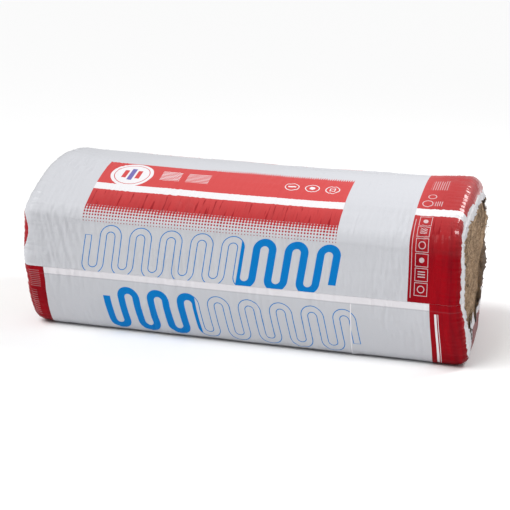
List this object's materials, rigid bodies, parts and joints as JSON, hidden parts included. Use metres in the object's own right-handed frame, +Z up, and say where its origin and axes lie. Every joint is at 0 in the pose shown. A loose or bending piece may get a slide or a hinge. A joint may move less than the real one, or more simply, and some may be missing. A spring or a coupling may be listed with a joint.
{
  "type": "film-wrapped pack of mineral wool slabs",
  "caption": "Shrink-wrapped pack of mineral wool insulation slabs, squeezed flat, with a domed top and an open oval eye in the film at each end.",
  "frame": {"origin": "middle of the pack's base, on the face that it lies on", "axes": "+X along the slabs, towards the end seen in the picture; -Y out of the long side that faces the camera; +Z up"},
  "size_m": [1.2484, 0.6102, 0.4552],
  "materials": {
    "mineral_wool": "brown glass fibre, matt, cut across the fibres at the slab ends",
    "upper_web": "milky white polyethylene film with red and blue print, soft gloss, wrinkled",
    "lower_web": "milky white polyethylene film with red end bands and blue print, soft gloss"
  },
  "bodies": {
    "root": {"slab_1": "mineral_wool", "slab_2": "mineral_wool", "slab_3": "mineral_wool", "slab_4": "mineral_wool", "slab_5": "mineral_wool", "slab_6": "mineral_wool", "slab_7": "mineral_wool", "slab_8": "mineral_wool", "slab_9": "mineral_wool", "upper_film": "upper_web", "lower_film": "lower_web"}
  },
  "joints": []
}
